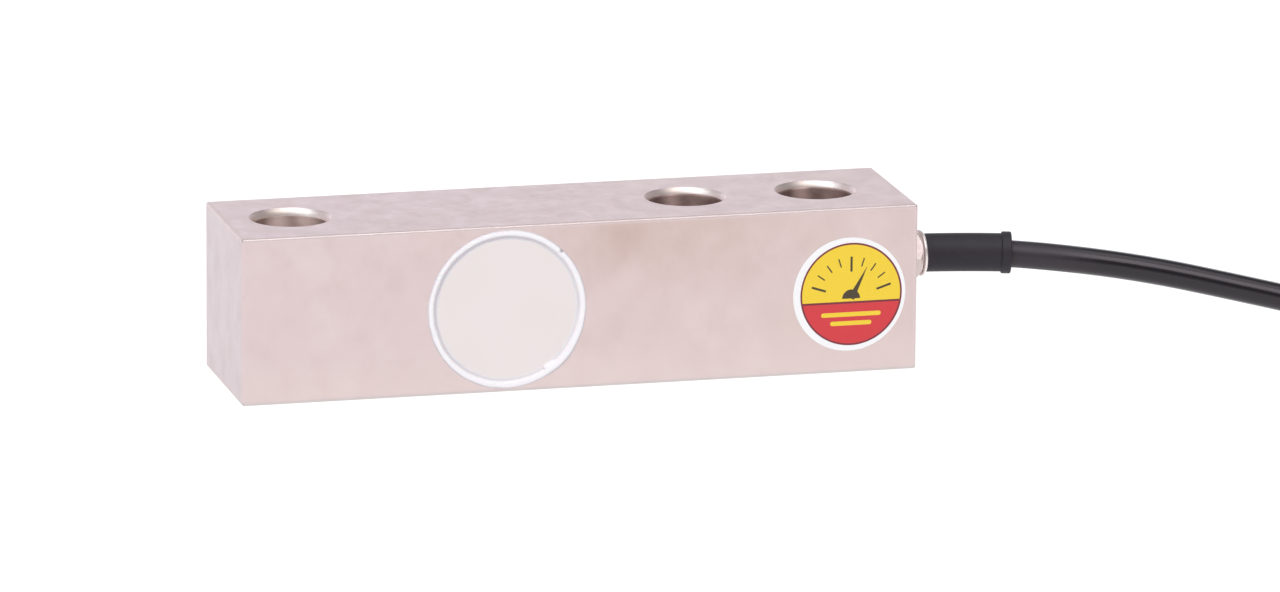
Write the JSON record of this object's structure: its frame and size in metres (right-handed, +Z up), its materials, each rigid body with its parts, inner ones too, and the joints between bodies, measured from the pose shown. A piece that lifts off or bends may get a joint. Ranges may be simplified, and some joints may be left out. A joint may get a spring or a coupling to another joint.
{
  "type": "cantilever beam load cell",
  "caption": "Rectangular steel shear beam load cell with vertical bolt holes, a sealed strain gauge pocket in each side, and a cable that leaves one end through a gland and a boot.",
  "frame": {"origin": "middle of the beam's underside, on the surface that it stands on", "axes": "+X along the beam towards the cable end, +Z up along the bolt holes, the sticker's side faces -Y"},
  "size_m": [0.3666, 0.0488, 0.0318],
  "materials": {
    "plated_steel": "ground, satin nickel plated",
    "cover_plate": "satin",
    "sealant": "smooth, slightly glossy",
    "sticker": "printed film",
    "gland_plating": "bright nickel plated",
    "seal_rubber": "matte",
    "boot_rubber": "matte moulded",
    "gauge_film": "thin amber film",
    "gauge_foil": "etched foil",
    "board": "laminate",
    "resistor": "matte",
    "enamelled_wire": "enamelled copper",
    "insulation_red": "smooth",
    "insulation_black": "smooth",
    "insulation_green": "smooth",
    "insulation_white": "smooth",
    "potting": "soft clear fill",
    "cable_jacket": "extruded, satin",
    "shrink_sleeve": "satin",
    "tinned_copper": "tinned strands",
    "tie": "woven"
  },
  "bodies": {
    "root": {"beam_body": "plated_steel", "front_cover_disc": "cover_plate", "rear_cover_disc": "cover_plate", "front_seal_bead": "sealant", "rear_seal_bead": "sealant", "round_sticker": "sticker", "gland_body": "gland_plating", "gland_nut": "gland_plating", "clamp_washer": "gland_plating", "gland_o_ring": "seal_rubber", "cable_grommet": "seal_rubber", "strain_relief_boot": "boot_rubber", "front_gauge_carrier": "gauge_film", "rear_gauge_carrier": "gauge_film", "front_gauge_foil": "gauge_foil", "rear_gauge_foil": "gauge_foil", "front_terminal_board": "board", "rear_terminal_board": "board", "compensation_board": "board", "trim_resistors": "resistor", "crossover_wires": "enamelled_wire", "front_jumper_wires": "enamelled_wire", "rear_jumper_wires": "enamelled_wire", "core_red": "insulation_red", "core_black": "insulation_black", "core_green": "insulation_green", "core_white": "insulation_white", "front_potting": "potting", "rear_potting": "potting", "signal_cable": "cable_jacket", "cable_hank": "cable_jacket", "cable_tail": "cable_jacket", "tail_sleeve": "shrink_sleeve", "lead_red": "insulation_red", "lead_black": "insulation_black", "lead_green": "insulation_green", "lead_white": "insulation_white", "lead_drain": "tinned_copper", "lead_tips": "tinned_copper", "hank_ties": "tie"}
  },
  "joints": []
}
